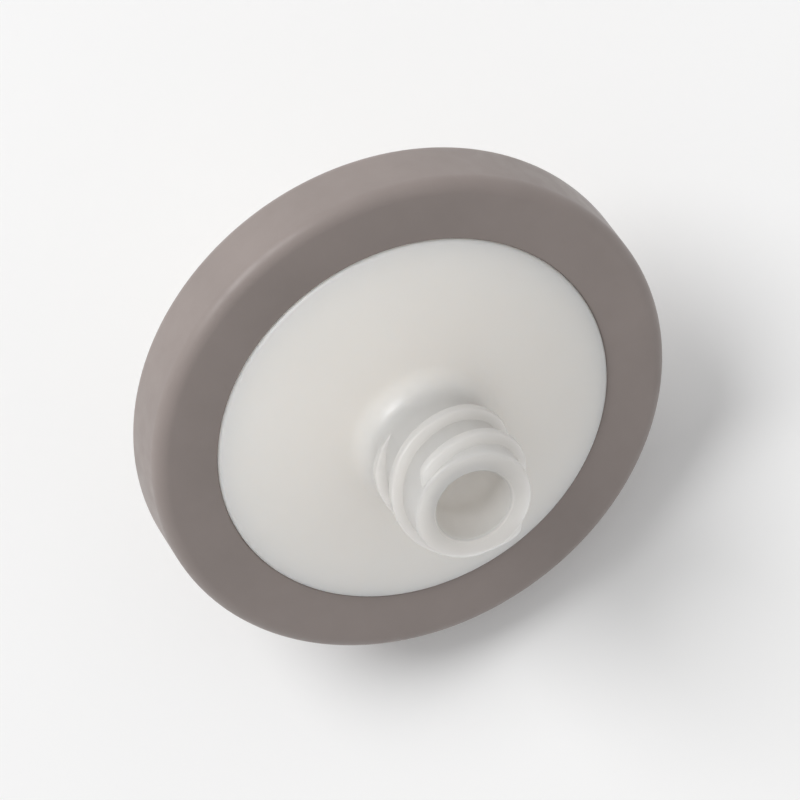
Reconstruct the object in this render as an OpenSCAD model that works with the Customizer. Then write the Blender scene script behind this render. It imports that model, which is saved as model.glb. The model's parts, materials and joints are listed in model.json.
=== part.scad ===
// Disposable 25 mm syringe filter.
//
// Two moulded housings clamp a membrane between their flanges, and a sealing ring
// moulded over the flanges locks the stack. A syringe locks on to the threaded
// inlet hub, and the smooth outlet cone takes a needle or a tube fitting.
//
// Each piece is drawn on the filter's own axis, with the middle of the membrane at
// z = 0 and the inlet up. at_rest() then leans the filter as it lies on a table, on
// the rim of its sealing ring and the tip of its outlet.

/* [Membrane] */
// Diameter of the membrane disc
membrane_d = 25; // [20:0.5:32]
// Thickness of the membrane disc
membrane_t = 0.15; // [0.1:0.01:0.4]
// Width of the membrane's edge that the two housings clamp
clamp_w = 1.1; // [0.8:0.1:2]
// Play between the membrane's edge and the weld rim around it
membrane_play = 0.1; // [0.05:0.05:0.3]

/* [Flanges] */
// Width of the weld rim that surrounds the membrane
weld_w = 0.6; // [0.4:0.1:1.2]
// Thickness of each housing's flange
flange_t = 1.2; // [0.8:0.1:2]

/* [Sealing ring] */
// Wall of the ring outside the flanges
ring_wall = 1.8; // [1.2:0.1:3]
// Thickness of the two lips that wrap the flanges
lip_t = 0.9; // [0.6:0.1:1.5]
// Radius on the ring's outer edges
ring_round = 0.8; // [0.3:0.1:1.1]
// Radius on the inner edges of the lips
lip_round = 0.15; // [0.05:0.05:0.3]

/* [Housing plates] */
// How far the edge of each plate stands above the ring's face
plate_step = 0.15; // [0.05:0.05:0.5]
// Radius on the edge of each plate
plate_round = 0.3; // [0.1:0.05:0.5]
// Rise of the inlet's domed plate from its edge to its middle
dome_rise = 1.8; // [0.6:0.1:2.5]
// Rise of the outlet's conical plate from its edge to its collar
cone_rise = 0.9; // [0.3:0.1:2.5]

/* [Inlet hub] */
// Height of the hub's mouth above the edge of the domed plate
hub_h = 8.8; // [8:0.1:12]
// Diameter of the hub between its threads
hub_d = 6.7; // [6.2:0.1:7]
// Radius of the fillet where the hub meets the dome
hub_fillet = 1.4; // [0.5:0.1:2]
// Radius on the outer edge of the hub's mouth
hub_round = 0.2; // [0.1:0.05:0.3]
// Diameter of the tapered socket at its mouth
socket_d = 4.3; // [4.2:0.05:4.4]
// Depth of the tapered socket
socket_depth = 8.5; // [7.5:0.1:9.5]
// Chamfer at the mouth of the socket
mouth_chamfer = 0.15; // [0.05:0.05:0.3]
// Diameter of the passage from the socket to the chamber
inlet_bore_d = 2.4; // [1.5:0.1:3]

/* [Lock thread] */
// Outside diameter over the thread crests
thread_d = 7.8; // [7.6:0.05:8]
// Advance of one flight in a whole turn
thread_lead = 5; // [4:0.5:6]
// Number of flights
thread_starts = 2; // [1:1:3]
// Length of hub that the thread covers
thread_l = 5.9; // [5:0.1:7.2]
// Distance from the mouth to the top of the thread
thread_inset = 0.1; // [0.05:0.05:0.6]
// Width of a flight at its crest
crest_w = 0.5; // [0.3:0.05:0.7]
// Angle of the flanks from square to the axis
flank_angle = 28; // [20:1:35]

/* [Outlet tip] */
// Diameter of the collar at the root of the tip
collar_d = 6.6; // [5.5:0.1:9]
// Height of the collar
collar_h = 1.5; // [0.8:0.1:3]
// Radius on the edge of the collar
collar_round = 0.3; // [0.1:0.05:0.5]
// Diameter of the tapered tip at its end
tip_d = 3.97; // [3.9:0.01:4]
// Length of the tapered tip
tip_l = 7.6; // [7.5:0.1:10]
// Radius of the fillet where the tip meets the collar
tip_fillet = 0.4; // [0.2:0.05:0.6]
// Radius on the end of the tip
tip_round = 0.2; // [0.1:0.05:0.4]
// Diameter of the passage through the tip
outlet_bore_d = 2.1; // [1.5:0.1:2.4]

/* [Flow chambers] */
// Height of the inlet chamber at its edge
chamber_edge_h = 0.5; // [0.3:0.05:0.9]
// Height of the inlet chamber at its middle
chamber_mid_h = 1; // [0.6:0.05:1.6]
// Number of ribs that hold the membrane down in the inlet chamber
rib_n = 12; // [6:1:24]
// Width of those ribs
rib_w = 0.5; // [0.3:0.1:0.8]
// Space between the ribs and the membrane
rib_gap = 0.2; // [0.1:0.05:0.25]
// Width of the support rings under the membrane
support_w = 0.7; // [0.4:0.1:1]
// Distance from one support ring to the next
support_pitch = 1.5; // [1.2:0.1:2.5]
// Depth of the drain grooves between the support rings
groove_depth = 0.5; // [0.3:0.1:0.8]
// Number of drain channels that run to the outlet
channel_n = 8; // [4:1:12]
// Width of the drain channels
channel_w = 0.9; // [0.5:0.1:1.2]

/* [Rest] */
// How far the filter has turned on its own axis as it lies
spin = 7.5; // [0:0.5:359.5]

/* [Hidden] */
$fn = 96;
// Luer cones lose 6 mm of diameter, so 3 mm of radius, in 100 mm of length
luer_slope = 0.03;
// Steps of a thread flight in one turn, and the parts of a turn in which it rises to its
// full height at the mouth and fades out above the dome
flight_steps = 32;
flight_rise = 0.05;
flight_fade = 0.15;
// How much of a flight's height is left where it has faded into the hub
flight_end = 0.1;
// How deep thread flights and ribs root in the wall that carries them
root_depth = 0.25;
// How far a cutting shape runs past what it cuts
overcut = 1;

// Flanges, membrane and ring, from the middle of the membrane outwards
membrane_r = membrane_d / 2;
filter_r = membrane_r - clamp_w;
seat_r = membrane_r + membrane_play;
flange_r = seat_r + weld_w;
ring_r = flange_r + ring_wall;
face_z = membrane_t / 2;
flange_z = face_z + flange_t;
ring_z = flange_z + lip_t;
plate_z = ring_z + plate_step;

// Inlet
hub_r = hub_d / 2;
mouth_z = plate_z + hub_h;
mouth_r = socket_d / 2;
socket_z = mouth_z - socket_depth;
inlet_bore_r = inlet_bore_d / 2;
dome_r = (filter_r * filter_r + dome_rise * dome_rise) / (2 * dome_rise);
dome_centre_z = plate_z + dome_rise - dome_r;
hub_fillet_x = hub_r + hub_fillet;
hub_fillet_z = dome_centre_z + leg(dome_r + hub_fillet, hub_fillet_x);

// Outlet
tip_r = tip_d / 2;
outlet_bore_r = outlet_bore_d / 2;
collar_r = collar_d / 2;
cone_z = plate_z + cone_rise;
cone_slope = cone_rise / (filter_r - collar_r);
collar_z = cone_z + collar_h;
tip_z = collar_z + tip_l;
tip_root_r = tip_r + luer_slope * tip_l;

// The lean at which the ring's lower edge and the tip's edge lie on one plane
lean_run = (ring_r - ring_round) - (tip_r - tip_round);
lean_fall = (tip_z - tip_round) - (ring_z - ring_round);
lean = atan2(lean_fall, lean_run)
    + asin((tip_round - ring_round) / norm([lean_run, lean_fall]));
rest_z = (ring_r - ring_round) * sin(lean) + (ring_z - ring_round) * cos(lean) + ring_round;

// The other short side of a right triangle
function leg(long_side, short_side) = sqrt(long_side * long_side - short_side * short_side);

// How far a circle's centre lies inside the end of a sloping side that the circle touches
function inset(r, slope) = r * (norm([1, slope]) - slope);

// Leans a piece from the filter's own axis to the way it lies on a table
module at_rest() {
    translate([0, 0, rest_z])
        rotate([0, lean, 0])
            rotate([0, 0, spin])
                children();
}

// What rounding takes off an outer corner, with the arc's centre at the origin.
// Along each slope, the piece's outline is square to the line from that centre.
module corner_waste(r, side_slope = 0, top_slope = 0) {
    reach = 2 * r;
    difference() {
        polygon([
            [0, 0],
            [reach, reach * side_slope],
            [reach, reach],
            [reach * top_slope, reach]
        ]);
        circle(r);
    }
}

// Half-section of a flange and of the plate that its children draw on it
module plate_section(top_z) {
    translate([0, face_z])
        square([flange_r, flange_t]);
    intersection() {
        translate([0, face_z])
            square([filter_r, top_z - face_z]);
        children();
    }
}

module dome_section() {
    edge_x = filter_r - plate_round;
    edge_z = leg(dome_r - plate_round, edge_x);
    translate([0, dome_centre_z])
        difference() {
            // Fine steps, because so little of this large circle shows
            circle(dome_r, $fn = 720);
            translate([edge_x, edge_z])
                corner_waste(plate_round, top_slope = edge_x / edge_z);
        }
}

module hub_section() {
    difference() {
        translate([0, face_z])
            square([hub_r, mouth_z - face_z]);
        translate([hub_r - hub_round, mouth_z - hub_round])
            corner_waste(hub_round);
    }
    difference() {
        translate([0, plate_z])
            square([hub_fillet_x, hub_fillet_z - plate_z]);
        translate([hub_fillet_x, hub_fillet_z])
            circle(hub_fillet);
    }
}

// Everything that liquid flows through on the inlet side of the membrane
module inlet_void_section() {
    polygon([
        [0, 0],
        [filter_r, 0],
        [filter_r, face_z + chamber_edge_h],
        [inlet_bore_r, face_z + chamber_mid_h],
        [inlet_bore_r, socket_z],
        [mouth_r - luer_slope * socket_depth, socket_z],
        [mouth_r - luer_slope * mouth_chamfer, mouth_z - mouth_chamfer],
        [mouth_r + mouth_chamfer, mouth_z],
        [mouth_r + mouth_chamfer, mouth_z + overcut],
        [0, mouth_z + overcut]
    ]);
}

module inlet_section() {
    difference() {
        union() {
            plate_section(plate_z + dome_rise)
                dome_section();
            hub_section();
        }
        inlet_void_section();
    }
}

// The corners of a flight's section after so many turns: its foot, its crest, its foot
function flight_corners(turn, height) =
    let (
        foot_r = hub_r - root_depth,
        crest_r = foot_r + height * (thread_d / 2 - foot_r),
        z = mouth_z - thread_inset - thread_l + crest_w / 2 + turn * thread_lead,
        half_crest = crest_w / 2,
        half_foot = half_crest + (crest_r - foot_r) * tan(flank_angle),
        top_foot = min(z + half_foot, mouth_z - thread_inset),
        way = [cos(360 * turn), sin(360 * turn)]
    )
    [
        [foot_r * way.x, foot_r * way.y, z - half_foot],
        [crest_r * way.x, crest_r * way.y, z - half_crest],
        [crest_r * way.x, crest_r * way.y, z + half_crest],
        [foot_r * way.x, foot_r * way.y, top_foot]
    ];

// One right-hand flight of the lock thread: it starts at the mouth, cut off level with
// it, and fades into the hub above the dome
module thread_flight() {
    turns = (thread_l - crest_w) / thread_lead;
    steps = ceil(turns * flight_steps);
    corners = [
        for (i = [0 : steps])
            let (
                turn = turns * i / steps,
                height = min(turn / flight_fade, (turns - turn) / flight_rise)
            )
            each flight_corners(turn, max(flight_end, min(1, height)))
    ];
    sides = [
        for (i = [0 : steps - 1], k = [0 : 3])
            let (a = 4 * i + k, b = 4 * i + (k + 1) % 4)
            each [[a, b, b + 4], [a, b + 4, a + 4]]
    ];
    last = 4 * steps;
    ends = [
        [3, 2, 1],
        [3, 1, 0],
        [last, last + 1, last + 2],
        [last, last + 2, last + 3]
    ];
    polyhedron(points = corners, faces = concat(sides, ends));
}

// One of the ribs that hang from the chamber's roof and keep the membrane from lifting
module chamber_rib() {
    start_r = 2 * inlet_bore_d;
    end_r = filter_r + root_depth;
    rotate([90, 0, 0])
        linear_extrude(height = rib_w, center = true)
            polygon([
                [start_r, face_z + rib_gap],
                [end_r, face_z + rib_gap],
                [end_r, face_z + chamber_edge_h],
                [start_r, face_z + chamber_mid_h + root_depth]
            ]);
}

module inlet_housing() {
    color("#d9d7d2")
        at_rest() {
            rotate_extrude()
                inlet_section();
            for (i = [0 : thread_starts - 1])
                rotate([0, 0, 360 * i / thread_starts])
                    thread_flight();
            for (i = [0 : rib_n - 1])
                rotate([0, 0, 360 * i / rib_n])
                    chamber_rib();
        }
}

// Drain grooves between the support rings, which stand from the edge inwards
module groove_section() {
    groove_w = support_pitch - support_w;
    for (r = [filter_r - groove_w : -support_pitch : outlet_bore_r + support_w])
        translate([r, face_z - overcut])
            square([groove_w, groove_depth + overcut]);
}

// The flange's edge, which the weld rim raises to meet the other housing's flange
module weld_rim_section() {
    translate([seat_r, -face_z])
        square([weld_w, 2 * face_z]);
}

module cone_section() {
    edge_x = filter_r - plate_round;
    edge_z = plate_z - inset(plate_round, cone_slope);
    difference() {
        polygon([
            [0, 0],
            [filter_r, 0],
            [filter_r, plate_z],
            [collar_r, cone_z],
            [0, cone_z]
        ]);
        translate([edge_x, edge_z])
            corner_waste(plate_round, top_slope = cone_slope);
    }
}

// The collar and, beyond it, the tapered tip
module tip_section() {
    difference() {
        translate([0, face_z])
            square([collar_r, collar_z - face_z]);
        translate([collar_r - collar_round, collar_z - collar_round])
            corner_waste(collar_round);
    }
    difference() {
        polygon([
            [0, collar_z],
            [tip_root_r, collar_z],
            [tip_r, tip_z],
            [0, tip_z]
        ]);
        translate([tip_r - inset(tip_round, luer_slope), tip_z - tip_round])
            corner_waste(tip_round, side_slope = luer_slope);
    }
    fillet_x = tip_root_r - luer_slope * tip_fillet + tip_fillet * norm([1, luer_slope]);
    difference() {
        translate([0, collar_z])
            square([fillet_x, tip_fillet * (1 + luer_slope)]);
        translate([fillet_x, collar_z + tip_fillet])
            circle(tip_fillet);
    }
}

// The outlet's half-section, drawn with its tip upwards
module outlet_section() {
    difference() {
        union() {
            plate_section(cone_z)
                cone_section();
            weld_rim_section();
            tip_section();
        }
        square([outlet_bore_r, tip_z + overcut]);
        groove_section();
    }
}

// A channel that crosses the support rings and leads what has passed to the outlet
module drain_channel() {
    translate([0, -channel_w / 2, 0])
        cube([filter_r - support_w, channel_w, face_z + groove_depth]);
}

module outlet_housing() {
    color("#d9d7d2")
        at_rest()
            mirror([0, 0, 1])
                difference() {
                    rotate_extrude()
                        outlet_section();
                    for (i = [0 : channel_n - 1])
                        rotate([0, 0, 360 * i / channel_n])
                            drain_channel();
                }
}

module membrane() {
    color("#f4f3ef")
        at_rest()
            translate([0, 0, -face_z])
                cylinder(r = membrane_r, h = membrane_t);
}

// The upper half of the ring's C-shaped section, from the middle of the membrane
module half_ring_section() {
    difference() {
        translate([filter_r, 0])
            square([ring_r - filter_r, ring_z]);
        square([flange_r, flange_z]);
        translate([ring_r - ring_round, ring_z - ring_round])
            corner_waste(ring_round);
        translate([filter_r + lip_round, ring_z - lip_round])
            mirror([1, 0])
                corner_waste(lip_round);
    }
}

module sealing_ring() {
    color("#857b78")
        at_rest()
            rotate_extrude() {
                half_ring_section();
                mirror([0, 1])
                    half_ring_section();
            }
}

inlet_housing();
outlet_housing();
membrane();
sealing_ring();
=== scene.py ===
"""A disposable 25 mm disc syringe filter, dressed for a close view from above.

The filter lies as it comes to rest on a table, on the rim of its sealing ring and
the tip of its outlet. Each piece is drawn in millimetres on the filter's own axis,
with the middle of the membrane at z = 0 and the inlet up, and is then laid where
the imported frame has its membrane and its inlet.
"""

import json
import logging
import math
from abc import ABC, abstractmethod
from dataclasses import dataclass, field
from enum import Enum
from typing import Any, ClassVar, Sequence

import bmesh
import bpy
from mathutils import Matrix, Vector


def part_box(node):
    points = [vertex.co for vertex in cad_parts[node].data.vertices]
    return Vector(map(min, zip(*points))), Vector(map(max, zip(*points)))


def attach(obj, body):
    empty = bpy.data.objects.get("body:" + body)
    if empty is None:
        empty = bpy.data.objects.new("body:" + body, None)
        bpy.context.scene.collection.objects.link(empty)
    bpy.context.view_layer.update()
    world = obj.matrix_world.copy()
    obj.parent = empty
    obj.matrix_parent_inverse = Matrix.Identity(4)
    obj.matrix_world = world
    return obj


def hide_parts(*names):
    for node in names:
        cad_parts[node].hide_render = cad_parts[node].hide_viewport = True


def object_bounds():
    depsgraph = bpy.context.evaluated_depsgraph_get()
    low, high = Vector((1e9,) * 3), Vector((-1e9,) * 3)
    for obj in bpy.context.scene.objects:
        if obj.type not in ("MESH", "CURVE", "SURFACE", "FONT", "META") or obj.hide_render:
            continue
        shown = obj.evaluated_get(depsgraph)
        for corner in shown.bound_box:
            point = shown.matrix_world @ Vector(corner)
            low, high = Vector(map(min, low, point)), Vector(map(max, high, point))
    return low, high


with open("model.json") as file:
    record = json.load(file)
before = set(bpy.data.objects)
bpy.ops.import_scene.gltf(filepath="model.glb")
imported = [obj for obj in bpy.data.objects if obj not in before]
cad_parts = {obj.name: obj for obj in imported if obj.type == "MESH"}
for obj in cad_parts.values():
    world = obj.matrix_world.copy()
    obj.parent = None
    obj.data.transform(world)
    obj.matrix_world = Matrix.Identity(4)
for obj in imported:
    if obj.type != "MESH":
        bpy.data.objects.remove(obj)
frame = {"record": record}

CAD_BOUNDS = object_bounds()
MM = 0.001  # metres in a millimetre
CLOSE = 1e-4  # millimetres within which two points count as one
LOG = logging.getLogger("syringe_filter")

Point = tuple[float, float]
Colour = tuple[float, float, float]


class Slot(Enum):
    """The record's material slots."""

    HOUSING = "housing"
    MEMBRANE = "membrane"
    RING = "ring"


class Node(Enum):
    """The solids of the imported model."""

    INLET = "inlet_housing"
    OUTLET = "outlet_housing"
    MEMBRANE = "membrane"
    RING = "sealing_ring"


class Cut(Enum):
    """What a tool body does to the piece that it meets."""

    JOIN = "UNION"
    REMOVE = "DIFFERENCE"


class Ramp(Enum):
    """How a value runs from one end of its range to the other."""

    STRAIGHT = "LINEAR"
    SOFT = "SMOOTHSTEP"


# ---------------------------------------------------------------- the filter's axis


def mount(name: str) -> dict[str, Any]:
    """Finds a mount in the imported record."""
    return next(row for row in frame["record"]["mounts"] if row["name"] == name)


@dataclass(frozen=True)
class Lay:
    """Where the filter's own axis lies in the frame.

    Attributes:
        centre: The middle of the membrane, in metres.
        axis: The way from the membrane to the inlet's mouth.
        spin: How far the filter has turned on that axis, in degrees.
    """

    centre: Vector
    axis: Vector
    spin: float

    @classmethod
    def from_frame(cls, spin: float) -> "Lay":
        """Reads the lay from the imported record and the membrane's box.

        Args:
            spin: The turn of the filter on its axis, in degrees.

        Returns:
            The lay of the filter.
        """
        low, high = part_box(Node.MEMBRANE.value)
        axis = Vector(mount("inlet_socket")["axis"]).normalized()
        return cls((Vector(low) + Vector(high)) / 2, axis, spin)

    @property
    def matrix(self) -> Matrix:
        """The step from millimetres on the filter's axis to metres in the frame."""
        lean = math.atan2(self.axis.x, self.axis.z)
        return (
            Matrix.Translation(self.centre)
            @ Matrix.Rotation(lean, 4, "Y")
            @ Matrix.Rotation(math.radians(self.spin), 4, "Z")
            @ Matrix.Scale(MM, 4)
        )

    def height_of(self, mount_name: str) -> float:
        """Measures how far along the axis a mount stands.

        Args:
            mount_name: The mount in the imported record.

        Returns:
            Its height above the middle of the membrane, in millimetres.
        """
        return (Vector(mount(mount_name)["pos_m"]) - self.centre).dot(self.axis) / MM


def radius_of(node: Node) -> float:
    """Measures a node's radius square to the lean, in millimetres."""
    low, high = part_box(node.value)
    return (high[1] - low[1]) / 2 / MM


# ---------------------------------------------------------------- bench tools


@dataclass
class Outline:
    """A closed half-section or outline, as points of radius and height."""

    points: list[Point] = field(default_factory=list)

    def to(self, *stops: Point) -> "Outline":
        """Adds straight runs to the stops."""
        self.points.extend(stops)
        return self

    def arc(self, centre: Point, radius: float, start: float, end: float, steps: int) -> "Outline":
        """Adds a circular run.

        Args:
            centre: The arc's centre.
            radius: The arc's radius.
            start: The angle where it starts, in degrees.
            end: The angle where it ends, in degrees.
            steps: The number of chords.

        Returns:
            This outline.
        """
        for step in range(steps + 1):
            angle = math.radians(start + (end - start) * step / steps)
            self.points.append(
                (centre[0] + radius * math.cos(angle), centre[1] + radius * math.sin(angle))
            )
        return self

    def flipped(self) -> "Outline":
        """Gives the outline upside down."""
        return Outline([(r, -z) for r, z in self.points])


class Bench:
    """The operators that every piece is made with."""

    @staticmethod
    def clear() -> None:
        """Deselects every object."""
        bpy.ops.object.select_all(action="DESELECT")

    @staticmethod
    def pick(obj: bpy.types.Object) -> None:
        """Selects one object alone and makes it the active one."""
        Bench.clear()
        bpy.context.view_layer.objects.active = obj
        obj.select_set(True)

    @staticmethod
    def wire(name: str, outline: Outline) -> bpy.types.Object:
        """Draws a closed wire in the plane y = 0 and leaves it in edit mode.

        Args:
            name: The new object's name.
            outline: Its points, as x and z.

        Returns:
            The wire's object.
        """
        Bench.clear()
        first = outline.points[0]
        bpy.ops.mesh.primitive_plane_add(size=1, location=(0, 0, 0))
        obj = bpy.context.object
        obj.name = name
        bpy.ops.object.mode_set(mode="EDIT")
        bpy.ops.mesh.select_all(action="SELECT")
        bpy.ops.mesh.merge(type="CENTER")
        bpy.ops.transform.translate(value=(first[0], 0, first[1]))
        here = first
        for stop in [*outline.points[1:], first]:
            step = (stop[0] - here[0], 0, stop[1] - here[1])
            bpy.ops.mesh.extrude_region_move(TRANSFORM_OT_translate={"value": step})
            here = stop
        bpy.ops.mesh.select_all(action="SELECT")
        bpy.ops.mesh.remove_doubles(threshold=CLOSE)
        return obj

    @staticmethod
    def turned(name: str, outline: Outline, steps: int) -> bpy.types.Object:
        """Spins a half-section round the axis.

        Args:
            name: The new object's name.
            outline: The closed half-section.
            steps: How many parts the whole turn has.

        Returns:
            A closed body of revolution.
        """
        obj = Bench.wire(name, outline)
        bpy.ops.mesh.select_all(action="SELECT")
        bpy.ops.mesh.spin(steps=steps, angle=math.tau, center=(0, 0, 0), axis=(0, 0, 1))
        Bench.seal()
        return obj

    @staticmethod
    def seal() -> None:
        """Merges doubles, turns all faces outwards and leaves edit mode."""
        bpy.ops.mesh.select_all(action="SELECT")
        bpy.ops.mesh.remove_doubles(threshold=CLOSE)
        bpy.ops.mesh.normals_make_consistent(inside=False)
        bpy.ops.object.mode_set(mode="OBJECT")

    @staticmethod
    def slab(name: str, outline: Outline, width: float) -> bpy.types.Object:
        """Extrudes an outline in the plane y = 0 to both sides.

        Args:
            name: The new object's name.
            outline: The closed outline.
            width: Its thickness along y.

        Returns:
            The slab.
        """
        obj = Bench.wire(name, outline)
        bpy.ops.mesh.edge_face_add()
        bpy.ops.transform.translate(value=(0, -width / 2, 0))
        bpy.ops.mesh.extrude_region_move(TRANSFORM_OT_translate={"value": (0, width, 0)})
        Bench.seal()
        return obj

    @staticmethod
    def ringed(obj: bpy.types.Object, count: int) -> list[bpy.types.Object]:
        """Copies an object round the axis.

        Args:
            obj: The first of them.
            count: How many there are in all.

        Returns:
            All of them, each with its own mesh.
        """
        row = [obj]
        for index in range(1, count):
            Bench.pick(obj)
            bpy.ops.object.duplicate()
            copy = bpy.context.object
            copy.rotation_euler.z = math.tau * index / count
            bpy.ops.object.transform_apply(location=False, rotation=True, scale=False)
            row.append(copy)
        return row

    @staticmethod
    def work(obj: bpy.types.Object, tools: Sequence[bpy.types.Object], cut: Cut) -> None:
        """Joins tool bodies to a piece or takes them off it, and throws them away.

        Args:
            obj: The piece.
            tools: The tool bodies.
            cut: What they do.
        """
        for tool in tools:
            modifier = obj.modifiers.new(cut.name.lower(), "BOOLEAN")
            modifier.operation = cut.value
            modifier.solver = "EXACT"
            modifier.object = tool
            Bench.pick(obj)
            bpy.ops.object.modifier_apply(modifier=modifier.name)
            bpy.data.objects.remove(tool)

    @staticmethod
    def lay_down(obj: bpy.types.Object, lay: Lay) -> None:
        """Puts a piece in its place, with the place in its mesh.

        Args:
            obj: A piece drawn in millimetres on the filter's axis.
            lay: Where that axis lies.
        """
        obj.matrix_world = lay.matrix
        Bench.pick(obj)
        bpy.ops.object.transform_apply(location=True, rotation=True, scale=True)

    @staticmethod
    def smooth(obj: bpy.types.Object, angle: float) -> None:
        """Shades a piece smooth where its faces meet at less than an angle in degrees."""
        Bench.pick(obj)
        bpy.ops.object.shade_smooth_by_angle(angle=math.radians(angle))


# ---------------------------------------------------------------- finishes


@dataclass(frozen=True)
class Grain:
    """A noise pattern.

    Attributes:
        size: The size of its patches, in millimetres.
        octaves: Its number of finer octaves.
    """

    size: float
    octaves: float


@dataclass(frozen=True)
class Relief:
    """How far a surface stands up and down.

    Attributes:
        depth: Its depth, in millimetres.
        strength: How much of it shows.
    """

    depth: float
    strength: float


@dataclass(frozen=True, kw_only=True)
class Finish(ABC):
    """A procedural finish.

    Attributes:
        name: The material's name.
        colour: Its main colour, linear.
        second: The colour that it drifts to.
        patches: The pattern of the two colours.
        roughness: Its middle roughness.
        MIDDLE: Where the middle range of a noise pattern starts and ends.
    """

    MIDDLE: ClassVar[Point] = (0.3, 0.7)

    name: str
    colour: Colour
    second: Colour
    patches: Grain
    roughness: float

    def material(self) -> bpy.types.Material:
        """Builds the material, or finds it where another piece has it already.

        Returns:
            A node material on object coordinates.
        """
        made = bpy.data.materials.get(self.name)
        if made:
            return made
        material = bpy.data.materials.new(self.name)
        material.use_nodes = True
        tree = material.node_tree
        shader = tree.nodes["Principled BSDF"]
        coordinates = tree.nodes.new("ShaderNodeTexCoord")
        self.dress(tree, shader, coordinates.outputs["Object"])
        return material

    @abstractmethod
    def dress(
        self,
        tree: bpy.types.NodeTree,
        shader: bpy.types.ShaderNode,
        place: bpy.types.NodeSocket,
    ) -> None:
        """Wires the finish.

        Args:
            tree: The material's node tree.
            shader: Its surface shader.
            place: Object coordinates, in metres.
        """

    @staticmethod
    def noise(
        tree: bpy.types.NodeTree, place: bpy.types.NodeSocket, grain: Grain
    ) -> bpy.types.NodeSocket:
        """Adds a noise pattern.

        Args:
            tree: The material's node tree.
            place: Where it is read.
            grain: Its size and octaves.

        Returns:
            The pattern, from 0 to 1.
        """
        node = tree.nodes.new("ShaderNodeTexNoise")
        node.inputs["Scale"].default_value = 1 / (grain.size * MM)
        node.inputs["Detail"].default_value = grain.octaves
        tree.links.new(place, node.inputs["Vector"])
        return node.outputs["Fac"]

    @staticmethod
    def ramp(
        tree: bpy.types.NodeTree,
        value: bpy.types.NodeSocket,
        start: Point,
        end: Point,
        style: Ramp = Ramp.STRAIGHT,
    ) -> bpy.types.NodeSocket:
        """Maps a run of values to another, level beyond both ends.

        Args:
            tree: The material's node tree.
            value: The value to map.
            start: One end: what is read there, and what it becomes.
            end: The other end.
            style: How it runs between them.

        Returns:
            The mapped value.
        """
        node = tree.nodes.new("ShaderNodeMapRange")
        node.interpolation_type = style.value
        node.inputs["From Min"].default_value, node.inputs["To Min"].default_value = start
        node.inputs["From Max"].default_value, node.inputs["To Max"].default_value = end
        tree.links.new(value, node.inputs["Value"])
        return node.outputs["Result"]

    @staticmethod
    def combine(
        tree: bpy.types.NodeTree, operation: str, *values: bpy.types.NodeSocket
    ) -> bpy.types.NodeSocket:
        """Works out a value from others.

        Args:
            tree: The node tree.
            operation: What is done with them.
            values: One or two values, as the operation needs.

        Returns:
            The new value.
        """
        node = tree.nodes.new("ShaderNodeMath")
        node.operation = operation
        for value, socket in zip(values, node.inputs):
            tree.links.new(value, socket)
        return node.outputs["Value"]

    @staticmethod
    def blend(
        tree: bpy.types.NodeTree,
        factor: bpy.types.NodeSocket,
        first: Colour | bpy.types.NodeSocket,
        second: Colour,
    ) -> bpy.types.NodeSocket:
        """Mixes two colours.

        Args:
            tree: The material's node tree.
            factor: How much of the second shows.
            first: A colour, or the result of another mix.
            second: The other colour.

        Returns:
            The mixed colour.
        """
        node = tree.nodes.new("ShaderNodeMix")
        node.data_type = "RGBA"
        tree.links.new(factor, node.inputs["Factor"])
        if isinstance(first, bpy.types.NodeSocket):
            tree.links.new(first, node.inputs["A"])
        else:
            node.inputs["A"].default_value = (*first, 1)
        node.inputs["B"].default_value = (*second, 1)
        return node.outputs["Result"]

    @classmethod
    def between(
        cls,
        tree: bpy.types.NodeTree,
        pattern: bpy.types.NodeSocket,
        low: float,
        high: float,
    ) -> bpy.types.NodeSocket:
        """Spreads the middle range of a pattern from one value to another.

        Args:
            tree: The material's node tree.
            pattern: A pattern from 0 to 1.
            low: The value where the middle range starts.
            high: The value where it ends.

        Returns:
            The spread value.
        """
        return cls.ramp(tree, pattern, (cls.MIDDLE[0], low), (cls.MIDDLE[1], high))

    @staticmethod
    def bump(
        tree: bpy.types.NodeTree,
        shader: bpy.types.ShaderNode,
        height: bpy.types.NodeSocket,
        relief: Relief,
    ) -> None:
        """Adds relief.

        Args:
            tree: The material's node tree.
            shader: The surface shader.
            height: The relief pattern.
            relief: How much of it there is.
        """
        node = tree.nodes.new("ShaderNodeBump")
        node.inputs["Distance"].default_value = relief.depth * MM
        node.inputs["Strength"].default_value = relief.strength
        tree.links.new(height, node.inputs["Height"])
        tree.links.new(node.outputs["Normal"], shader.inputs["Normal"])

    def mottle(
        self, tree: bpy.types.NodeTree, place: bpy.types.NodeSocket
    ) -> bpy.types.NodeSocket:
        """Gives the pattern in which the two colours meet, from 0 to 1."""
        return self.between(tree, self.noise(tree, place, self.patches), 0, 1)


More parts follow.
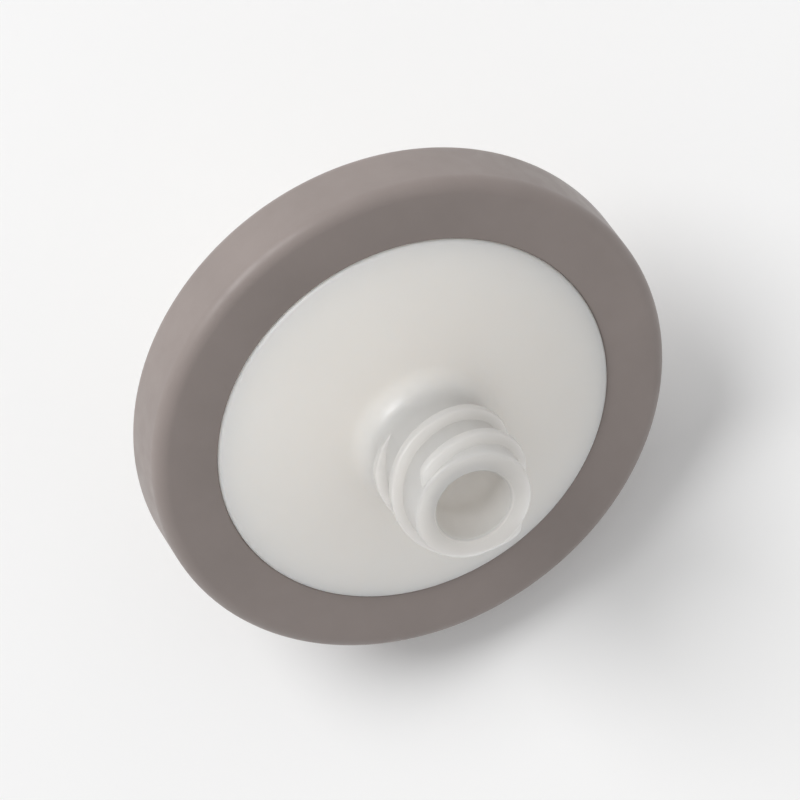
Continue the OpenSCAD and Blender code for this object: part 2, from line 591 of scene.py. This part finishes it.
@dataclass(frozen=True, kw_only=True)
class Plastic(Finish):
    """Moulded plastic with a satin gloss, and with light in its depth.

    Attributes:
        gloss: The pattern in which its roughness strays.
        stray: How far the roughness strays to either side.
        bumps: The pattern of its relief.
        relief: How much of the relief there is.
        scatter: How much of the light goes through its depth.
        reach: How far red, green and blue spread there, against each other.
        ior: Its index of refraction.
    """

    gloss: Grain
    stray: float
    bumps: Grain
    relief: Relief
    scatter: float
    reach: Colour
    ior: float = 1.49

    def dress(
        self,
        tree: bpy.types.NodeTree,
        shader: bpy.types.ShaderNode,
        place: bpy.types.NodeSocket,
    ) -> None:
        """Wires gloss, relief and depth; see Finish."""
        gloss = self.noise(tree, place, self.gloss)
        rough = self.between(tree, gloss, self.roughness - self.stray, self.roughness + self.stray)
        tree.links.new(rough, shader.inputs["Roughness"])
        self.bump(tree, shader, self.noise(tree, place, self.bumps), self.relief)
        shader.inputs["Subsurface Weight"].default_value = self.scatter
        shader.inputs["Subsurface Radius"].default_value = self.reach
        shader.inputs["IOR"].default_value = self.ior


@dataclass(frozen=True, kw_only=True)
class MilkyPlastic(Plastic):
    """Natural polypropylene: milky, faintly clouded, with light in its depth.

    The plates have the white membrane behind them. The hub and the tip have nothing
    behind their walls, so light spreads further in them, and their colour is painted
    greyer: painted shade for the light that no white behind them sends through. The
    inside of the inlet's socket is painted greyest, more so towards the mouth, where
    its wall is thinnest: painted shade in the socket's recess.

    Attributes:
        unbacked_shade: Painted shade on walls with nothing white behind them: their colour, linear.
        socket_shade: Painted shade inside the socket: the colour of its wall at the mouth, linear.
        lay: Where the filter's axis lies.
        backed_h: How far from the membrane a wall still looks white, in millimetres.
        clear_h: How far from it the white has gone, in millimetres.
        hollow_h: How far from it the painted shade on the socket's wall starts.
        mouth_h: How far from it that painted shade is at its darkest.
        socket_r: The radius that holds the socket's wall, in millimetres.
        socket_edge: How far outside that radius the grey has gone.
        backed_depth: How far light spreads in the plates, in millimetres.
        clear_depth: How far it spreads in the hub and the tip, in millimetres.
    """

    unbacked_shade: Colour
    socket_shade: Colour
    lay: Lay
    backed_h: float = 3.6
    clear_h: float = 6.0
    hollow_h: float = 5.5
    mouth_h: float = 11.0
    socket_r: float = 2.2
    socket_edge: float = 0.1
    backed_depth: float = 2.5
    clear_depth: float = 14.0

    def dress(
        self,
        tree: bpy.types.NodeTree,
        shader: bpy.types.ShaderNode,
        place: bpy.types.NodeSocket,
    ) -> None:
        """Wires clouds and the painted shade on the hub, the tip and the socket as well; see Plastic."""
        super().dress(tree, shader, place)
        height, radius = self.measure(tree, place)
        away = self.combine(tree, "ABSOLUTE", height)
        # Painted shade: away from the membrane, the hub and tip walls fade to a greyer colour.
        clear = self.ramp(tree, away, (self.backed_h * MM, 0), (self.clear_h * MM, 1), Ramp.SOFT)
        # Painted shade: inside the socket, the wall turns greyer towards the mouth.
        up = self.ramp(tree, height, (self.hollow_h * MM, 0), (self.mouth_h * MM, 1))
        outside_r = self.socket_r + self.socket_edge
        inside = self.ramp(tree, radius, (outside_r * MM, 0), (self.socket_r * MM, 1))
        plate = self.blend(tree, self.mottle(tree, place), self.colour, self.second)
        # The painted shade is laid over the mottled plate colour.
        walls = self.blend(tree, clear, plate, self.unbacked_shade)
        whole = self.blend(tree, self.combine(tree, "MULTIPLY", up, inside), walls, self.socket_shade)
        tree.links.new(whole, shader.inputs["Base Color"])
        depth = self.ramp(tree, clear, (0, self.backed_depth * MM), (1, self.clear_depth * MM))
        tree.links.new(depth, shader.inputs["Subsurface Scale"])

    def measure(
        self, tree: bpy.types.NodeTree, place: bpy.types.NodeSocket
    ) -> tuple[bpy.types.NodeSocket, bpy.types.NodeSocket]:
        """Measures a place against the filter's axis.

        Args:
            tree: The material's node tree.
            place: Object coordinates, in metres.

        Returns:
            Its height above the middle of the membrane and its distance from the axis.
        """
        offset = self.vector(tree, "SUBTRACT", place, self.lay.centre).outputs["Vector"]
        height = self.vector(tree, "DOT_PRODUCT", offset, self.lay.axis).outputs["Value"]
        square = self.vector(tree, "CROSS_PRODUCT", offset, self.lay.axis).outputs["Vector"]
        return height, self.vector(tree, "LENGTH", square, Vector()).outputs["Value"]

    @staticmethod
    def vector(
        tree: bpy.types.NodeTree, operation: str, first: bpy.types.NodeSocket, second: Vector
    ) -> bpy.types.ShaderNode:
        """Adds a node that works on a linked vector and a fixed one.

        Args:
            tree: The material's node tree.
            operation: What it does.
            first: The linked vector.
            second: The fixed vector.

        Returns:
            The node.
        """
        node = tree.nodes.new("ShaderNodeVectorMath")
        node.operation = operation
        tree.links.new(first, node.inputs[0])
        node.inputs[1].default_value = second
        return node


@dataclass(frozen=True, kw_only=True)
class SatinPlastic(Plastic):
    """Dull, slightly mottled plastic.

    Attributes:
        depth: How far light spreads in it, in millimetres.
    """

    depth: float

    def dress(
        self,
        tree: bpy.types.NodeTree,
        shader: bpy.types.ShaderNode,
        place: bpy.types.NodeSocket,
    ) -> None:
        """Wires mottling as well; see Plastic."""
        super().dress(tree, shader, place)
        whole = self.blend(tree, self.mottle(tree, place), self.colour, self.second)
        tree.links.new(whole, shader.inputs["Base Color"])
        shader.inputs["Subsurface Scale"].default_value = self.depth * MM


@dataclass(frozen=True, kw_only=True)
class PorousFilm(Finish):
    """A matte film with fine pores.

    Attributes:
        relief: How deep the pores are.
        ior: Its index of refraction.
    """

    relief: Relief
    ior: float = 1.4

    def dress(
        self,
        tree: bpy.types.NodeTree,
        shader: bpy.types.ShaderNode,
        place: bpy.types.NodeSocket,
    ) -> None:
        """Wires pores, in the pattern of the two colours; see Finish."""
        pores = self.mottle(tree, place)
        whole = self.blend(tree, pores, self.colour, self.second)
        tree.links.new(whole, shader.inputs["Base Color"])
        self.bump(tree, shader, pores, self.relief)
        shader.inputs["Roughness"].default_value = self.roughness
        shader.inputs["IOR"].default_value = self.ior


@dataclass(frozen=True, kw_only=True)
class MattePaint(Finish):
    """A barely uneven matte coat.

    Attributes:
        shine: Level of its mirror-like light, from 0 for none.
    """

    shine: float = 0.0

    def dress(
        self,
        tree: bpy.types.NodeTree,
        shader: bpy.types.ShaderNode,
        place: bpy.types.NodeSocket,
    ) -> None:
        """Wires the coat; see Finish."""
        whole = self.blend(tree, self.mottle(tree, place), self.colour, self.second)
        tree.links.new(whole, shader.inputs["Base Color"])
        shader.inputs["Roughness"].default_value = self.roughness
        shader.inputs["Specular IOR Level"].default_value = self.shine


LAY = Lay.from_frame(spin=7.5)
HOUSING_PLASTIC = MilkyPlastic(
    name="milky_polypropylene",
    colour=(0.90, 0.866, 0.822),
    second=(0.88, 0.846, 0.802),
    patches=Grain(6, 3),
    roughness=0.36,
    gloss=Grain(1.5, 4),
    stray=0.05,
    bumps=Grain(0.25, 3),
    relief=Relief(0.01, 0.2),
    scatter=1.0,
    reach=(1.0, 0.95, 0.9),
    # Painted shade colours: greyer hub and tip walls, greyest inside the socket.
    unbacked_shade=(0.59, 0.559, 0.52),
    socket_shade=(0.40, 0.393, 0.372),
    lay=LAY,
)
BAND_PLASTIC = SatinPlastic(
    name="mauve_grey_band",
    colour=(0.285, 0.242, 0.226),
    second=(0.262, 0.223, 0.208),
    patches=Grain(4, 4),
    roughness=0.45,
    gloss=Grain(1, 4),
    stray=0.06,
    bumps=Grain(0.2, 4),
    relief=Relief(0.012, 0.3),
    scatter=0.2,
    reach=(1.0, 0.9, 0.85),
    depth=0.5,
)
FILM = PorousFilm(
    name="porous_film",
    colour=(0.88, 0.87, 0.84),
    second=(0.80, 0.79, 0.76),
    patches=Grain(0.06, 6),
    roughness=0.85,
    relief=Relief(0.01, 0.6),
)
TABLE = MattePaint(
    name="pale_table",
    colour=(0.93, 0.93, 0.93),
    second=(0.91, 0.91, 0.91),
    patches=Grain(40, 2),
    roughness=0.9,
)


# ---------------------------------------------------------------- the four pieces


@dataclass
class Stack:
    """The sizes that the pieces share, in millimetres.

    Attributes:
        lay: Where the filter's axis lies.
        clamp_w: Width of the membrane's clamped edge.
        membrane_t: Thickness of the membrane.
        membrane_play: Play round the membrane.
        flange_t: Thickness of a flange.
        lip_t: Thickness of the sealing ring's lips.
        plate_step: How far a plate's edge stands above the ring.
        plate_round: Radius on a plate's edge.
        luer_slope: Radius that a Luer cone loses in a unit of length.
        steps: Parts of a whole turn.
        round_steps: Chords in the round on a plate's edge and the like.
    """

    lay: Lay
    clamp_w: float = 1.1
    membrane_t: float = 0.15
    membrane_play: float = 0.1
    flange_t: float = 1.2
    lip_t: float = 0.9
    plate_step: float = 0.15
    plate_round: float = 0.3
    luer_slope: float = 0.03
    steps: int = 192
    round_steps: int = 8

    def __post_init__(self) -> None:
        """Works out the radii and heights that follow."""
        self.membrane_r = radius_of(Node.MEMBRANE)
        self.flange_r = radius_of(Node.INLET)
        self.ring_r = radius_of(Node.RING)
        self.filter_r = self.membrane_r - self.clamp_w
        self.seat_r = self.membrane_r + self.membrane_play
        self.face_z = self.membrane_t / 2
        self.flange_z = self.face_z + self.flange_t
        self.ring_z = self.flange_z + self.lip_t
        self.plate_z = self.ring_z + self.plate_step


@dataclass
class Piece(ABC):
    """One moulded or cut piece of the filter.

    A piece's sizes are in millimetres and have the names that the part's source gives
    them, where it has them too.

    Attributes:
        stack: The sizes that it shares with the others.
        node: The solid that it stands for.
        slot: The record's slot of its material.
        finish: Its finish.
        crease: The angle between faces from which an edge stays sharp, in degrees.
    """

    stack: Stack

    node: Node = field(init=False)
    slot: Slot = field(init=False)
    finish: Finish = field(init=False)
    crease: float = field(init=False, default=32)

    @abstractmethod
    def build(self) -> bpy.types.Object:
        """Models the piece in millimetres on the filter's axis."""

    def place(self) -> bpy.types.Object:
        """Returns:
            The finished piece.
        """
        obj = self.build()
        Bench.lay_down(obj, self.stack.lay)
        Bench.smooth(obj, self.crease)
        obj.data.materials.clear()
        obj.data.materials.append(self.finish.material())
        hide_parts(self.node.value)
        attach(obj, "root")
        LOG.info("%s: %d faces", obj.name, len(obj.data.polygons))
        return obj


@dataclass
class MembraneDisc(Piece):
    """The disc of porous film between the housings."""

    edge_round: float = 0.03
    edge_steps: int = 3

    def __post_init__(self) -> None:
        """Names its node, slot and finish."""
        self.node, self.slot, self.finish = Node.MEMBRANE, Slot.MEMBRANE, FILM

    def build(self) -> bpy.types.Object:
        """Spins a thin disc with a softened edge."""
        r, half, edge = self.stack.membrane_r, self.stack.face_z, self.edge_round
        outline = Outline().to((0, -half))
        outline.arc((r - edge, -half + edge), edge, 270, 360, self.edge_steps)
        outline.arc((r - edge, half - edge), edge, 0, 90, self.edge_steps)
        outline.to((0, half))
        return Bench.turned("membrane_disc", outline, self.stack.steps)


@dataclass
class SealingRing(Piece):
    """The band moulded over both flanges."""

    ring_round: float = 0.8
    ring_steps: int = 12
    lip_round: float = 0.15
    lip_steps: int = 4

    def __post_init__(self) -> None:
        """Names its node, slot and finish."""
        self.node, self.slot, self.finish = Node.RING, Slot.RING, BAND_PLASTIC

    def build(self) -> bpy.types.Object:
        """Spins the C-shaped section."""
        s = self.stack
        outer, lip = self.ring_round, self.lip_round
        half = Outline()
        half.to((s.flange_r, 0), (s.flange_r, s.flange_z), (s.filter_r, s.flange_z))
        half.arc((s.filter_r + lip, s.ring_z - lip), lip, 180, 90, self.lip_steps)
        half.arc((s.ring_r - outer, s.ring_z - outer), outer, 90, 0, self.ring_steps)
        lower = reversed(half.flipped().points[1:])
        return Bench.turned("sealing_ring_band", half.to(*lower), s.steps)


@dataclass
class InletHousing(Piece):
    """The domed plate with its threaded hub and tapered socket."""

    dome_rise: float = 1.8
    hub_d: float = 6.7
    dome_steps: int = 16
    hub_fillet: float = 1.4
    fillet_steps: int = 14
    hub_round: float = 0.2
    mouth_steps: int = 6
    socket_d: float = 4.3
    socket_depth: float = 8.5
    mouth_chamfer: float = 0.15
    inlet_bore_d: float = 2.4
    chamber_edge_h: float = 0.5
    chamber_mid_h: float = 1.0
    rib_n: int = 12
    rib_w: float = 0.5
    rib_gap: float = 0.2
    root_depth: float = 0.25
    thread_d: float = 7.8
    thread_lead: float = 5.0
    thread_starts: int = 2
    thread_l: float = 5.9
    thread_inset: float = 0.1
    crest_w: float = 0.5
    crest_round: float = 0.12
    crest_steps: int = 3
    flank_angle: float = 28
    flight_steps: int = 64
    flight_rise: float = 0.05
    flight_fade: float = 0.15
    flight_end: float = 0.1

    def __post_init__(self) -> None:
        """Names its node, slot and finish, and works out what follows."""
        self.node, self.slot, self.finish = Node.INLET, Slot.HOUSING, HOUSING_PLASTIC
        self.mouth_z = self.stack.lay.height_of("inlet_socket")

    def section(self) -> Outline:
        """Draws the half-section, from the passage up the socket and down outside.

        Returns:
            The closed half-section.
        """
        s = self.stack
        hub_r, bore_r, mouth_r = self.hub_d / 2, self.inlet_bore_d / 2, self.socket_d / 2
        socket_z = self.mouth_z - self.socket_depth
        dome_r = (s.filter_r**2 + self.dome_rise**2) / (2 * self.dome_rise)
        dome_z = s.plate_z + self.dome_rise - dome_r
        fillet = (
            hub_r + self.hub_fillet,
            dome_z + math.sqrt((dome_r + self.hub_fillet) ** 2 - (hub_r + self.hub_fillet) ** 2),
        )
        edge_x = s.filter_r - s.plate_round
        edge = (edge_x, dome_z + math.sqrt((dome_r - s.plate_round) ** 2 - edge_x**2))
        root_angle = math.degrees(math.atan2(fillet[1] - dome_z, fillet[0]))
        edge_angle = math.degrees(math.atan2(edge[1] - dome_z, edge[0]))

        outline = Outline()
        outline.to((bore_r, s.face_z + self.chamber_mid_h), (bore_r, socket_z))
        outline.to((mouth_r - s.luer_slope * self.socket_depth, socket_z))
        outline.to((mouth_r - s.luer_slope * self.mouth_chamfer, self.mouth_z - self.mouth_chamfer))
        outline.to((mouth_r + self.mouth_chamfer, self.mouth_z))
        lip = (hub_r - self.hub_round, self.mouth_z - self.hub_round)
        outline.arc(lip, self.hub_round, 90, 0, self.mouth_steps)
        outline.arc(fillet, self.hub_fillet, 180, 180 + root_angle, self.fillet_steps)
        outline.arc((0, dome_z), dome_r, root_angle, edge_angle, self.dome_steps)
        outline.arc(edge, s.plate_round, edge_angle, 0, s.round_steps)
        outline.to((s.filter_r, s.flange_z), (s.flange_r, s.flange_z))
        outline.to((s.flange_r, s.face_z), (s.filter_r, s.face_z))
        outline.to((s.filter_r, s.face_z + self.chamber_edge_h))
        return outline

    def flight(self) -> bpy.types.Object:
        """Sweeps one flight of the lock thread up the hub.

        Returns:
            A closed flight, cut off level at the mouth and fading out above the dome.
        """
        foot_r = self.hub_d / 2 - self.root_depth
        height = self.thread_d / 2 - foot_r
        crest = self.crest_w / 2
        foot = crest + height * math.tan(math.radians(self.flank_angle))
        low_z = self.mouth_z - self.thread_inset - self.thread_l + crest
        turns = (self.thread_l - self.crest_w) / self.thread_lead
        steps = math.ceil(turns * self.flight_steps)

        def share(index: int) -> float:
            """Gives how much of the flight's height stands at a step."""
            turn = turns * index / steps
            return max(self.flight_end, min(1, turn / self.flight_fade, (turns - turn) / self.flight_rise))

        section = Outline([
            (foot_r, low_z - foot),
            (foot_r + height, low_z - crest),
            (foot_r + height, low_z + crest),
            (foot_r, low_z + foot),
        ])
        obj = Bench.wire("thread_flight", section)
        bpy.ops.mesh.edge_face_add()
        self.round_crest(obj)
        bpy.ops.mesh.select_all(action="SELECT")
        size = share(0)
        bpy.ops.transform.resize(value=(size,) * 3, center_override=(foot_r, 0, low_z))
        angle = math.tau * turns / steps
        rise = self.thread_lead * turns / steps
        for index in range(1, steps + 1):
            bpy.ops.mesh.extrude_region_move(TRANSFORM_OT_translate={"value": (0, 0, rise)})
            bpy.ops.transform.rotate(value=-angle, orient_axis="Z", center_override=(0, 0, 0))
            turn = angle * index
            change = share(index) / size
            if not math.isclose(change, 1, abs_tol=1e-6):
                heel = (foot_r * math.cos(turn), foot_r * math.sin(turn), low_z + rise * index)
                bpy.ops.transform.resize(value=(change,) * 3, center_override=heel)
            size = share(index)
        self.level_top(obj)
        Bench.seal()
        return obj

    def level_top(self, obj: bpy.types.Object) -> None:
        """Presses what would stand above the top of the thread down to it.

        Args:
            obj: The swept flight, in edit mode.
        """
        top_z = self.mouth_z - self.thread_inset
        mesh = bmesh.from_edit_mesh(obj.data)
        bpy.ops.mesh.select_all(action="DESELECT")
        for vertex in mesh.verts:
            vertex.select = vertex.co.z > top_z
        mesh.select_flush(True)
        bmesh.update_edit_mesh(obj.data)
        bpy.ops.transform.resize(value=(1, 1, 0), center_override=(0, 0, top_z))

    def round_crest(self, obj: bpy.types.Object) -> None:
        """Rounds the two crest corners of the flight's first section.

        Args:
            obj: The flight, in edit mode, with its section alone in it.
        """
        mesh = bmesh.from_edit_mesh(obj.data)
        bpy.ops.mesh.select_all(action="DESELECT")
        crest_r = self.thread_d / 2
        for vertex in mesh.verts:
            vertex.select = abs(vertex.co.x - crest_r) < CLOSE
        mesh.select_flush(True)
        bmesh.update_edit_mesh(obj.data)
        bpy.ops.mesh.bevel(offset=self.crest_round, segments=self.crest_steps, affect="VERTICES")

    def rib(self) -> bpy.types.Object:
        """Makes one rib that hangs from the chamber's roof."""
        s = self.stack
        start_r, end_r = 2 * self.inlet_bore_d, s.filter_r + self.root_depth
        outline = Outline([
            (start_r, s.face_z + self.rib_gap),
            (end_r, s.face_z + self.rib_gap),
            (end_r, s.face_z + self.chamber_edge_h),
            (start_r, s.face_z + self.chamber_mid_h + self.root_depth),
        ])
        return Bench.slab("chamber_rib", outline, self.rib_w)

    def build(self) -> bpy.types.Object:
        """Spins the body and joins the thread and the ribs to it."""
        body = Bench.turned("inlet_housing_moulding", self.section(), self.stack.steps)
        Bench.work(body, Bench.ringed(self.flight(), self.thread_starts), Cut.JOIN)
        Bench.work(body, Bench.ringed(self.rib(), self.rib_n), Cut.JOIN)
        return body


@dataclass
class OutletHousing(Piece):
    """The conical plate with its collar, tapered tip and drain."""

    cone_rise: float = 0.9
    collar_d: float = 6.6
    collar_h: float = 1.5
    collar_round: float = 0.3
    tip_d: float = 3.97
    tip_fillet: float = 0.4
    tip_round: float = 0.2
    outlet_bore_d: float = 2.1
    support_w: float = 0.7
    support_pitch: float = 1.5
    groove_depth: float = 0.5
    groove_n: int = 6
    channel_n: int = 8
    channel_w: float = 0.9
    overcut: float = 1.0

    def __post_init__(self) -> None:
        """Names its node, slot and finish, and works out what follows."""
        self.node, self.slot, self.finish = Node.OUTLET, Slot.HOUSING, HOUSING_PLASTIC
        self.tip_z = -self.stack.lay.height_of("outlet_tip")

    @staticmethod
    def inset(radius: float, slope: float) -> float:
        """Finds how far a round's centre lies inside the end of a sloping side."""
        return radius * (math.hypot(1, slope) - slope)

    def section(self) -> Outline:
        """Draws the half-section with the tip upwards, then turns it over.

        Returns:
            The closed half-section.
        """
        s = self.stack
        collar_r, tip_r, bore_r = self.collar_d / 2, self.tip_d / 2, self.outlet_bore_d / 2
        cone_z = s.plate_z + self.cone_rise
        slope = self.cone_rise / (s.filter_r - collar_r)
        collar_z = cone_z + self.collar_h
        tip_root_r = tip_r + s.luer_slope * (self.tip_z - collar_z)
        taper = math.degrees(math.atan(s.luer_slope))
        edge = (s.filter_r - s.plate_round, s.plate_z - self.inset(s.plate_round, slope))
        rim = (collar_r - self.collar_round, collar_z - self.collar_round)
        root = (tip_root_r + self.inset(self.tip_fillet, s.luer_slope), collar_z + self.tip_fillet)
        end = (tip_r - self.inset(self.tip_round, s.luer_slope), self.tip_z - self.tip_round)
        groove_w = self.support_pitch - self.support_w
        floor = s.face_z + self.groove_depth

        outline = Outline().to((bore_r, s.face_z))
        for index in reversed(range(self.groove_n)):
            inner = s.filter_r - groove_w - self.support_pitch * index
            outline.to((inner, s.face_z), (inner, floor))
            outline.to((inner + groove_w, floor), (inner + groove_w, s.face_z))
        outline.to((s.seat_r, s.face_z), (s.seat_r, -s.face_z), (s.flange_r, -s.face_z))
        outline.to((s.flange_r, s.flange_z), (s.filter_r, s.flange_z))
        outline.arc(edge, s.plate_round, 0, 90 - math.degrees(math.atan(slope)), s.round_steps)
        outline.to((collar_r, cone_z))
        outline.arc(rim, self.collar_round, 0, 90, s.round_steps)
        outline.arc(root, self.tip_fillet, 270, 180 + taper, s.round_steps)
        outline.arc(end, self.tip_round, taper, 90, s.round_steps)
        outline.to((bore_r, self.tip_z))
        return outline.flipped()

    def channel(self) -> bpy.types.Object:
        """Makes the tool that cuts one drain channel across the support rings."""
        s = self.stack
        end_r = s.filter_r - self.support_w
        top, floor = s.face_z - self.overcut, s.face_z + self.groove_depth
        outline = Outline([(0, top), (end_r, top), (end_r, floor), (0, floor)])
        return Bench.slab("drain_channel", outline.flipped(), self.channel_w)

    def build(self) -> bpy.types.Object:
        """Spins the body and cuts the drain channels."""
        body = Bench.turned("outlet_housing_moulding", self.section(), self.stack.steps)
        Bench.work(body, Bench.ringed(self.channel(), self.channel_n), Cut.REMOVE)
        return body


# ---------------------------------------------------------------- the set


@dataclass
class Set:
    """The table, the light and the camera, in metres and degrees.

    Attributes:
        table_w: Width of the table.
        frame_w: Width of what the camera takes in.
        lens: Focal length, in millimetres.
        sensor: Width of the camera's sensor, in millimetres.
        clip_start: How close to the camera things still show.
        roll: How far the camera is turned about the upright.
        key_place: Where the soft lamp hangs, from the middle of the filter.
        key_size: Width of the soft lamp.
        key_power: Power of the soft lamp, in watts.
        fill: Strength of the even light from all round.
    """

    table_w: float = 4.0
    frame_w: float = 0.044
    lens: float = 300.0
    sensor: float = 36.0
    clip_start: float = 0.01
    roll: float = 55.0
    key_place: tuple[float, float, float] = (-1.50, -0.72, 1.80)
    key_size: float = 1.5
    key_power: float = 41.0
    fill: float = 0.54

    def __post_init__(self) -> None:
        """Finds the middle of the filter's box."""
        self.centre = (Vector(CAD_BOUNDS[0]) + Vector(CAD_BOUNDS[1])) / 2

    def build(self) -> None:
        """Sets up everything that isn't the filter."""
        self.lay_table()
        self.hang_lamp()
        self.light_world()
        self.set_camera()

    def lay_table(self) -> None:
        """Lays a plain pale table that the filter rests on."""
        Bench.clear()
        bpy.ops.mesh.primitive_plane_add(size=self.table_w, location=(0, 0, 0))
        table = bpy.context.object
        table.name = "pale_table"
        table.data.materials.append(TABLE.material())

    def hang_lamp(self) -> None:
        """Hangs a large soft lamp above and behind the raised side of the ring."""
        place = self.centre + Vector(self.key_place)
        bpy.ops.object.light_add(type="AREA", location=place)
        lamp = bpy.context.object
        lamp.name = "soft_key"
        lamp.data.shape = "DISK"
        lamp.data.size = self.key_size
        lamp.data.energy = self.key_power
        lamp.rotation_euler = (self.centre - place).to_track_quat("-Z", "Y").to_euler()

    def light_world(self) -> None:
        """Gives even light, and white where a ray sees past the table."""
        world = bpy.data.worlds.new("even_light")
        bpy.context.scene.world = world
        world.use_nodes = True
        tree = world.node_tree
        light = tree.nodes["Background"]
        light.inputs["Color"].default_value = (1, 1, 1, 1)
        light.inputs["Strength"].default_value = self.fill
        white = tree.nodes.new("ShaderNodeBackground")
        white.inputs["Strength"].default_value = 1
        path = tree.nodes.new("ShaderNodeLightPath")
        sees = path.outputs["Is Camera Ray"]
        for kind in ("Is Glossy Ray", "Is Transmission Ray"):
            sees = Finish.combine(tree, "MAXIMUM", sees, path.outputs[kind])
        mix = tree.nodes.new("ShaderNodeMixShader")
        tree.links.new(sees, mix.inputs["Fac"])
        tree.links.new(light.outputs["Background"], mix.inputs[1])
        tree.links.new(white.outputs["Background"], mix.inputs[2])
        tree.links.new(mix.outputs["Shader"], tree.nodes["World Output"].inputs["Surface"])

    def set_camera(self) -> None:
        """Hangs the camera straight above, turned so that the inlet leans down to the right."""
        distance = self.frame_w * self.lens / self.sensor
        bpy.ops.object.camera_add(location=self.centre + Vector((0, 0, distance)))
        camera = bpy.context.object
        camera.name = "overhead_camera"
        camera.rotation_euler = (0, 0, math.radians(self.roll))
        camera.data.lens = self.lens
        camera.data.sensor_width = self.sensor
        camera.data.clip_start = self.clip_start
        bpy.context.scene.camera = camera


def main() -> None:
    """Builds the filter and its set."""
    logging.basicConfig(level=logging.INFO, format="%(name)s: %(message)s")
    bpy.context.scene.view_settings.view_transform = "Standard"
    stack = Stack(LAY)
    for kind in (OutletHousing, MembraneDisc, InletHousing, SealingRing):
        kind(stack).place()
    Set().build()


if __name__ == "__main__":
    main()
